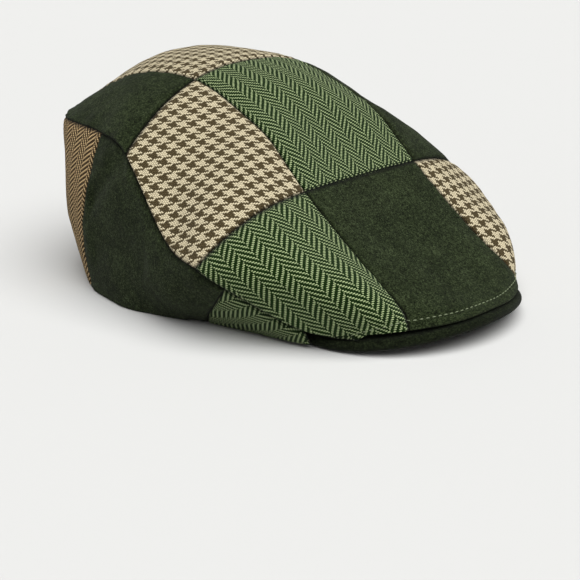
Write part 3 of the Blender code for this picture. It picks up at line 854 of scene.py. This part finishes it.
def add_topstitching(crown_panels):
    """Short stitches in a row along the front edge, from the crown's one corner to the other.

    Each is a thread whose radius swells from 0 at its ends by the root of 1 - (place from its
    middle) squared, sunk into the cloth at its ends.
    """
    centre, centre_out = stitch_line(crown_panels["centre", 0])
    side, side_out = stitch_line(crown_panels["side", 0])
    mirror = np.array([-1, 1, 1])
    line = np.concatenate([(side * mirror)[:0:-1], centre, side[1:]])
    out = np.concatenate([(side_out * mirror)[:0:-1], centre_out, side_out[1:]])
    run = np.concatenate([[0], length_of(np.diff(line, axis=0)).cumsum()])
    starts = np.arange(STITCH_PITCH, run[-1] - STITCH_PITCH, STITCH_PITCH)
    around = np.linspace(0, 2 * np.pi, STITCH_SIDES, endpoint=False)
    share = np.linspace(-1, 1, STITCH_RINGS)
    place = starts[:, None] + share * STITCH_LENGTH / 2
    middle, up = between(place, run, line), unit(between(place, run, out))
    ahead = unit(middle[:, -1:] - middle[:, :1])
    sideways = np.cross(ahead, up)
    radius = STITCH_RADIUS * np.sqrt(np.clip(1 - share**2, BLUNT, 1))
    lift = STITCH_RADIUS * (STITCH_LIFT - STITCH_SINK * share**4)
    middle = middle + up * lift[:, None]
    cosine, sine = np.cos(around)[:, None], np.sin(around)[:, None]
    ring = sideways[:, :, None] * cosine + up[:, :, None] * sine
    vertices = middle[:, :, None] + ring * radius[:, None, None]
    index = numbered(vertices)
    beside = np.roll(index, -1, axis=2)
    sides = joined(index[:, :-1], beside[:, :-1], beside[:, 1:], index[:, 1:])
    first = index[:, 0, ::-1].reshape(-1, STITCH_SIDES)
    last = index[:, -1].reshape(-1, STITCH_SIDES)
    faces = [*sides.reshape(-1, 4).tolist(), *first.tolist(), *last.tolist()]
    add_piece("front_topstitching", vertices.reshape(-1, 3), faces, thread(), None)


# Materials


class Value:
    """A number or colour that varies over a surface. Python's operators on it add Math nodes."""

    def __init__(self, cloth, socket):
        self.cloth = cloth
        self.socket = socket

    def math(self, operation, *others):
        """A Math node on this and up to two others."""
        inputs = dict(enumerate((self, *others)))
        return self.cloth.add("ShaderNodeMath", {"operation": operation}, inputs)

    def __add__(self, other):
        return self.math("ADD", other)

    def __sub__(self, other):
        return self.math("SUBTRACT", other)

    def __mul__(self, other):
        return self.math("MULTIPLY", other)

    def __truediv__(self, other):
        return self.math("DIVIDE", other)

    def __mod__(self, other):
        return self.math("FLOORED_MODULO", other)

    def __lt__(self, other):
        return self.math("LESS_THAN", other)

    def __rsub__(self, other):
        return self.cloth.add("ShaderNodeMath", {"operation": "SUBTRACT"}, {0: other, 1: self})

    __radd__ = __add__
    __rmul__ = __mul__

    def times(self, colour):
        """A colour multiplied by another."""
        kind = {"data_type": "RGBA", "blend_type": "MULTIPLY"}
        return self.cloth.add("ShaderNodeMix", kind, {0: 1.0, 6: self, 7: colour}, output=2)

    def floor(self):
        return self.math("FLOOR")

    def arch(self):
        """From 0 at 0 up to 1 at a half and back to 0 at 1, like half a sine wave."""
        return (self * np.pi).math("SINE")

    def choose(self, low, high):
        """Low where this is 0, and high where it is 1."""
        return low + self * (high - low)


class Cloth:
    """A material's node tree while it is being drawn."""

    def __init__(self, name):
        self.material = bpy.data.materials.new(name)
        self.material.use_nodes = True
        self.tree = self.material.node_tree
        self.shader = self.tree.nodes["Principled BSDF"]

    def add(self, kind, settings=None, inputs=None, output=0):
        """Adds a node of a kind with its settings, then its inputs, and gives an output."""
        node = self.tree.nodes.new(kind)
        for name, value in (settings or {}).items():
            setattr(node, name, value)
        self.feed(node, inputs or {})
        return Value(self, node.outputs[output])

    def ramp(self, share, stops):
        """A colour that runs through stops, each a share and a colour."""
        made = self.add("ShaderNodeValToRGB", None, {0: share})
        ramp = made.socket.node.color_ramp
        while len(ramp.elements) < len(stops):
            ramp.elements.new(1.0)
        for element, (place, colour) in zip(ramp.elements, stops):
            element.position = place
            element.color = (*colour, 1)
        return made

    def feed(self, node, inputs):
        """Links a node's inputs to varying values, and sets the others to constants."""
        for name, value in inputs.items():
            socket = node.inputs[name]
            if isinstance(value, Value):
                self.tree.links.new(value.socket, socket)
            elif socket.type == "RGBA":
                socket.default_value = (*value, 1)
            else:
                socket.default_value = value

    def mix(self, share, low, high):
        """A colour between two, by share."""
        kind = {"data_type": "RGBA"}
        return self.add("ShaderNodeMix", kind, {0: share, 6: low, 7: high}, output=2)

    def noise(self, place, scale, detail=2.0, roughness=0.5, distortion=0.0):
        """Noise of about 0 to 1, over metres or over yarns."""
        inputs = {"Vector": place, "Scale": scale, "Detail": detail}
        inputs |= {"Roughness": roughness, "Distortion": distortion}
        return self.add("ShaderNodeTexNoise", None, inputs)

    def spread(self, value, low, high):
        """A value's range from low to high carried to 0 to 1."""
        inputs = {"Value": value, "From Min": low, "From Max": high}
        return self.add("ShaderNodeMapRange", None, inputs)

    def finish(self, colour, roughness, height, depth, sheen):
        """Joins the colour, darkened in the seams as painted shade, the roughness and a height to
        the shader.
        """
        attribute = {"attribute_name": "from_seam"}
        from_seam = self.add("ShaderNodeAttribute", attribute, None, output=2)
        # Painted shade: the colour is darkened towards the seam shade colour near a seam
        colour = self.mix(self.spread(from_seam, 0.0, 1.0), PAINTED_SEAM_SHADE, (1, 1, 1)).times(colour)
        relief = {"Height": height, "Distance": depth, "Strength": 1.0}
        bump = self.add("ShaderNodeBump", None, relief)
        self.feed(self.shader, {"Base Color": colour, "Roughness": roughness, "Normal": bump})
        self.feed(self.shader, {"Sheen Weight": sheen, "Sheen Roughness": SHEEN_ROUGHNESS})
        self.feed(self.shader, {"Specular IOR Level": SHINE})
        return self.material


def felt(name, tint):
    """Dark green wool felt: matted fibres over soft mottling, with a few pale hairs."""
    cloth = Cloth(name)
    place = cloth.add("ShaderNodeTexCoord", None, None, output=3)
    fibres = cloth.noise(place, 1300, detail=4.0, roughness=0.75, distortion=1.2)
    tufts = cloth.noise(place, 300, detail=3.0, roughness=0.65, distortion=0.8)
    mottle = cloth.noise(place, 55, detail=4.0, roughness=0.6)
    strands = cloth.noise(place, 700, roughness=0.6, distortion=3.5)
    hairs = cloth.spread(strands, low=0.66, high=0.76)
    tone = cloth.spread(fibres * 0.74 + tufts * 0.17 + mottle * 0.09, low=0.41, high=0.61)
    stops = ((0.0, FELT_DARK), (0.5, FELT_MIDDLE), (1.0, FELT_LIGHT))
    colour = cloth.ramp(tone, [(share, scaled(part, tint)) for share, part in stops])
    colour = cloth.mix(hairs * HAIR_SHOWS, colour, scaled(FELT_HAIR, tint))
    roughness = 0.95 + (tufts - 0.5) * 0.1
    height = fibres * 0.6 + tufts * 0.4
    return cloth.finish(colour, roughness, height, depth=0.45 * MM, sheen=0.03)


def yarns(cloth, tweed, wander):
    """The warp and weft coordinates of a woven cloth, counted in yarns, and both as a vector.

    They come from the panel's flat coordinates, and wander a little.
    """
    flat = cloth.add("ShaderNodeUVMap", {"uv_map": "cloth"})
    to_yarns = {"Vector": flat, "Scale": (1 / tweed.warp, 1 / tweed.weft, 1)}
    counted = cloth.add("ShaderNodeMapping", {"vector_type": "POINT"}, to_yarns)
    slow = {"Vector": counted, "Scale": 0.09, "Detail": 3.0}
    drift = cloth.add("ShaderNodeTexNoise", None, slow, output=1)
    added = {0: drift, 1: (wander, wander, 0), 2: counted}
    moved = cloth.add("ShaderNodeVectorMath", {"operation": "MULTIPLY_ADD"}, added)
    warp = cloth.add("ShaderNodeSeparateXYZ", None, {0: moved})
    return warp, Value(cloth, warp.socket.node.outputs[1]), moved


def float_shape(across, start, along, thin):
    """Height of a float of yarn, round across its yarn and along its run of two yarns."""
    run = ((start % 2).floor() + along) / 2
    return across.arch().math("POWER", thin) * run.arch().math("POWER", 0.7)


def herringbone(name, tweed):
    """Herringbone tweed: a twill of two over and two under that turns back after each column.

    The step is counted across the diagonal and wraps after four yarns: on two of them the dark warp
    is on top, and on the other two the light weft. Where a column turns, the step also jumps, which
    breaks the diagonals.
    """
    cloth = Cloth(name)
    warp, weft, place = yarns(cloth, tweed, wander=0.9)
    number, row = warp.floor(), weft.floor()
    column = (number / COLUMN_YARNS).floor() % 2
    inside = number % COLUMN_YARNS
    step = column.choose(row + inside, row - inside + (COLUMN_YARNS + 1)) % TWILL_YARNS
    warp_up = step < TWILL_YARNS / 2 - 0.5
    across, along = warp % 1, weft % 1
    warp_float = float_shape(across, step, along, thin=0.8)
    weft_float = float_shape(along, step, column.choose(across, 1 - across), thin=1.3)
    fuzz = cloth.noise(place, 1.7, detail=4.0, roughness=0.75, distortion=1.0)
    heather = cloth.noise(place, 0.4, detail=3.0, roughness=0.6)
    frayed = cloth.spread(weft_float + (fuzz - 0.5) * 0.5, low=0.16, high=0.48)
    bright = (fuzz - 0.5) * 1.2 + (heather - 0.5) * 0.9
    # Painted shade and highlight: the dark yarn is lighter on top of its float and darker at its
    # edges, over its heathered tone
    dark_share = cloth.spread(bright + warp_float * 0.5, low=-0.3, high=0.8)
    dark_yarn = cloth.mix(dark_share, scaled(tweed.dark, 0.4), scaled(tweed.dark, 1.5))
    light_share = cloth.spread(bright, low=-0.7, high=0.7)
    light_yarn = cloth.mix(light_share, scaled(tweed.light, 0.65), scaled(tweed.light, 1.3))
    colour = cloth.mix((1 - warp_up) * frayed, dark_yarn, light_yarn)
    roughness = 0.93 + (fuzz - 0.5) * 0.1
    height = warp_up.choose(weft_float, warp_float * 0.8) + fuzz * 0.3
    return cloth.finish(colour, roughness, height, depth=0.55 * MM, sheen=0.04)


def houndstooth(name, tweed):
    """Houndstooth tweed: a two and two twill of four light and four dark yarns, both ways."""
    cloth = Cloth(name)
    warp, weft, place = yarns(cloth, tweed, wander=0.7)
    number, row = warp.floor(), weft.floor()
    step = (row + number) % TWILL_YARNS
    warp_up = step < TWILL_YARNS / 2 - 0.5
    warp_dark = number % CHECK_YARNS < CHECK_YARNS / 2 - 0.5
    weft_dark = row % CHECK_YARNS < CHECK_YARNS / 2 - 0.5
    is_dark = warp_up.choose(weft_dark, warp_dark)
    across, along = warp % 1, weft % 1
    warp_float = float_shape(across, step, along, thin=0.5)
    weft_float = float_shape(along, step, across, thin=0.5)
    height = warp_up.choose(weft_float, warp_float)
    fuzz = cloth.noise(place, 1.5, detail=4.0, roughness=0.75, distortion=1.0)
    heather = cloth.noise(place, 0.3, detail=3.0, roughness=0.6)
    # Bright is the yarns' heathered tone plus painted shade and highlight: darker at a float's
    # edges, lighter on its top
    bright = (fuzz - 0.5) * 1.1 + (heather - 0.5) * 0.8 + (height - 0.7) * 0.9
    share = cloth.spread(bright, low=-0.8, high=0.6)
    dark_yarn = cloth.mix(share, scaled(tweed.dark, 0.45), scaled(tweed.dark, 1.3))
    light_yarn = cloth.mix(share, scaled(tweed.light, 0.5), scaled(tweed.light, 1.15))
    colour = cloth.mix(is_dark, light_yarn, dark_yarn)
    roughness = 0.93 + (fuzz - 0.5) * 0.1
    return cloth.finish(colour, roughness, height + fuzz * 0.3, depth=0.5 * MM, sheen=0.04)


def thread():
    """Pale green sewing thread, its colour and bump finely uneven like its plies."""
    cloth = Cloth("thread")
    place = cloth.add("ShaderNodeTexCoord", None, None, output=3)
    plies = cloth.noise(place, 2200, roughness=0.6)
    share = cloth.spread(plies, low=0.3, high=0.7)
    colour = cloth.mix(share, scaled(THREAD, 0.6), scaled(THREAD, 1.3))
    roughness = 0.75 + (plies - 0.5) * 0.2
    return cloth.finish(colour, roughness, plies, depth=0.1 * MM, sheen=0.04)


def scaled(colour, factor):
    return tuple(factor * part for part in colour)


def plain(name, colour, roughness):
    """A material of one colour and one roughness."""
    cloth = Cloth(name)
    cloth.feed(cloth.shader, {"Base Color": colour, "Roughness": roughness})
    return cloth.material


# The cap


def build_cap():
    """Adds the panels in their cloths, the peak and the topstitching."""
    cloths = {
        FELT: felt("felt", 1.0),
        GREEN: herringbone("green_tweed", GREEN_TWEED),
        CHECK: houndstooth("check_tweed", CHECK_TWEED),
        BROWN: herringbone("brown_tweed", BROWN_TWEED),
    }
    crown_panels = {}
    for row, (row_name, slots) in enumerate(CROWN_SLOTS.items()):
        for column in ("centre", "side"):
            panel = crown_panels[column, row] = crown_panel(column, row)
            for hand in ("centre",) if column == "centre" else ("right", "left"):
                add_panel(f"top_{row_name}_{hand}", panel, slots[hand], cloths, hand == "right")
    for part, (part_name, slot) in enumerate(BAND_SLOTS.items()):
        panel = band_panel(part)
        for hand in ("right", "left"):
            add_panel(f"side_{part_name}_{hand}", panel, slot, cloths, hand == "right")
    # The peak gets a darker copy of the felt, as painted shade
    add_peak(felt("peak_felt_painted_shade", PAINTED_PEAK_SHADE))
    add_topstitching(crown_panels)


# Stage, lights and camera


def add_floor():
    """A pale floor, flat under the cap and rising far from it like the rim of a shallow bowl.

    Its height is the rise times the square of the distance past the flat part.
    """
    turn = np.linspace(0, 2 * np.pi, FLOOR_SPOKES, endpoint=False)
    reach = np.linspace(FLOOR_FLAT, FLOOR_REACH, FLOOR_RINGS)[:, None]
    height = FLOOR_RISE * (reach - FLOOR_FLAT) ** 2
    rings = joined(reach * np.cos(turn), reach * np.sin(turn), height)
    index = numbered(rings)
    faces = [index[0].tolist(), *faces_between(index).tolist()]
    mesh = bpy.data.meshes.new("floor")
    mesh.from_pydata(rings.reshape(-1, 3).tolist(), [], faces)
    mesh.shade_smooth()
    mesh.materials.append(plain("pale_floor", FLOOR_COLOUR, 0.9))
    floor = add_object("floor", mesh)


def looking(place, back, roll):
    """The matrix of a camera or lamp whose back points one way, with its own up turned by roll."""
    right = unit(np.cross([0, 0, 1], back))
    up = np.cross(back, right)
    turned_right = right * np.cos(roll) + up * np.sin(roll)
    turned_up = up * np.cos(roll) - right * np.sin(roll)
    rows = np.eye(4)
    rows[:3, :4] = np.stack([turned_right, turned_up, back, np.array(place)], axis=-1)
    return Matrix(rows.tolist())


def add_camera():
    """A camera at its distance from its target, seen from the azimuth and elevation."""
    azimuth, elevation = np.radians([CAMERA_AZIMUTH, CAMERA_ELEVATION])
    level = np.cos(elevation)
    back = np.array([np.sin(azimuth) * level, -np.cos(azimuth) * level, np.sin(elevation)])
    data = bpy.data.cameras.new("camera")
    data.sensor_width = CAMERA_SENSOR
    data.lens = CAMERA_LENS
    data.clip_start = CAMERA_NEAR
    camera = add_object("camera", data)
    place = CAMERA_TARGET + back * CAMERA_DISTANCE
    camera.matrix_world = looking(place, back, np.radians(CAMERA_ROLL))
    bpy.context.scene.camera = camera


def light_stage():
    """A dim white room and one broad lamp from above the cap's front."""
    world = bpy.data.worlds.new("studio")
    world.use_nodes = True
    background = world.node_tree.nodes["Background"]
    background.inputs["Color"].default_value = (1, 1, 1, 1)
    background.inputs["Strength"].default_value = ROOM_LIGHT
    bpy.context.scene.world = world
    bpy.context.scene.view_settings.view_transform = "Standard"
    sun = bpy.data.lights.new("key", "SUN")
    sun.energy = SUN_LIGHT
    sun.angle = np.radians(SUN_WIDTH)
    lamp = add_object("key", sun)
    lamp.matrix_world = looking((0, 0, 1), unit(np.array(SUN_SIDE)), 0)


build_cap()
add_floor()
light_stage()
add_camera()
